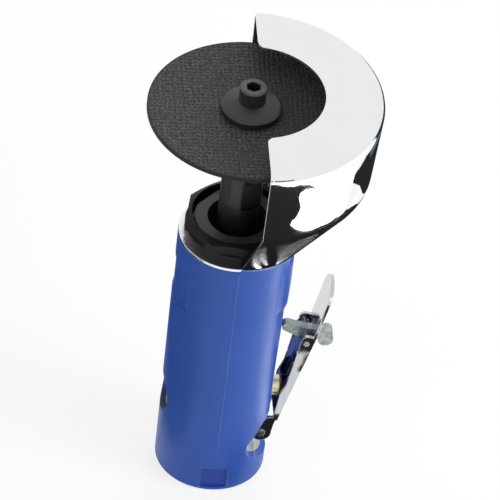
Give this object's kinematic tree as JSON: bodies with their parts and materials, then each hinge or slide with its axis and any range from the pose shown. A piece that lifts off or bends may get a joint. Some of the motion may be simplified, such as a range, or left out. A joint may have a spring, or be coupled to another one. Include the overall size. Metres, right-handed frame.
{
  "type": "pneumatic cut off tool",
  "caption": "Straight air cut off tool: a blue grip with a throttle lever and safety latch, an arbor with a thin cutting disc, and a flared half guard that swivels round it.",
  "frame": {"origin": "centre of the air inlet at the rear end of the grip, on which the tool stands", "axes": "+Z along the motor axis from the air inlet to the cutting disc; +X to the side of the throttle lever and the guard; -X to the air regulator"},
  "size_m": [0.0868, 0.0934, 0.1845],
  "materials": {
    "sleeve_blue": "satin",
    "guard_chrome": "polished",
    "lever_steel": "polished",
    "latch_zinc": "satin",
    "black_steel": "satin",
    "dark_steel": "satin",
    "grey_steel": "satin",
    "bright_steel": "polished",
    "abrasive": "matte",
    "cast_alloy": "satin",
    "brass": "satin",
    "rubber": "matte",
    "felt": "matte",
    "gasket": "matte",
    "vane": "matte",
    "seat": "satin",
    "deflector": "satin"
  },
  "bodies": {
    "housing": {"motor_housing": "cast_alloy", "grip_sleeve": "sleeve_blue", "clamp_nut": "black_steel", "front_retainer": "grey_steel", "front_bearing_outer_race": "bright_steel", "rear_bearing_outer_race": "bright_steel", "front_end_plate": "cast_alloy", "rear_end_plate": "cast_alloy", "motor_cylinder": "grey_steel", "cylinder_pin": "bright_steel", "motor_gasket": "gasket", "air_inlet": "bright_steel", "inlet_screen": "bright_steel", "inlet_seal": "rubber", "exhaust_deflector": "deflector", "exhaust_muffler": "felt", "deflector_clip": "bright_steel", "valve_bushing": "brass", "valve_seat": "seat", "valve_spring": "bright_steel", "bushing_seal": "rubber", "lever_pivot_pin": "bright_steel", "regulator_clip": "bright_steel"},
    "spindle": {"rotor": "bright_steel", "rotor_vanes": "vane", "front_bearing_inner_race": "bright_steel", "rear_bearing_inner_race": "bright_steel", "front_bearing_balls": "bright_steel", "rear_bearing_balls": "bright_steel", "arbor": "black_steel", "inner_flange": "black_steel", "cutting_disc": "abrasive", "outer_flange": "dark_steel", "disc_screw": "dark_steel"},
    "guard": {"wheel_guard": "guard_chrome"},
    "lever": {"throttle_lever": "lever_steel", "latch_pin": "bright_steel", "latch_spring": "bright_steel"},
    "latch": {"safety_latch": "latch_zinc"},
    "plunger": {"valve_plunger": "brass", "plunger_seal": "rubber", "valve_ball": "bright_steel"},
    "regulator": {"air_regulator": "cast_alloy", "regulator_seal": "rubber"}
  },
  "joints": [
    {"name": "spindle_spin", "type": "hinge", "parent": "housing", "child": "spindle", "pos_m": [0, 0, 0.1], "axis": [0, 0, 1], "continuous": true},
    {"name": "guard_swivel", "type": "hinge", "parent": "housing", "child": "guard", "pos_m": [0, 0, 0.1132], "axis": [0, 0, 1], "continuous": true},
    {"name": "throttle_press", "type": "hinge", "parent": "housing", "child": "lever", "pos_m": [0.0176, 0, 0.0182], "axis": [0, -1, 0], "range_deg": [0, 6], "stiffness_Nm_per_rad": 2, "springref_deg": -5.73},
    {"name": "latch_swing", "type": "hinge", "parent": "lever", "child": "latch", "pos_m": [0.03055, 0, 0.06433], "axis": [0, 1, 0], "range_deg": [0, 60.02]},
    {"name": "valve_slide", "type": "slide", "parent": "housing", "child": "plunger", "axis": [-1, 0, 0], "range_m": [0, 0.00195], "deforming": ["valve_spring"]},
    {"name": "regulator_turn", "type": "hinge", "parent": "housing", "child": "regulator", "pos_m": [-0.013, 0, 0.0332], "axis": [1, 0, 0], "range_deg": [-90, 90]}
  ],
  "couplings": [
    {"joint": "latch_swing", "follows": "throttle_press", "ratio": 10},
    {"joint": "valve_slide", "follows": "throttle_press", "m_per_rad": 0.0186}
  ]
}
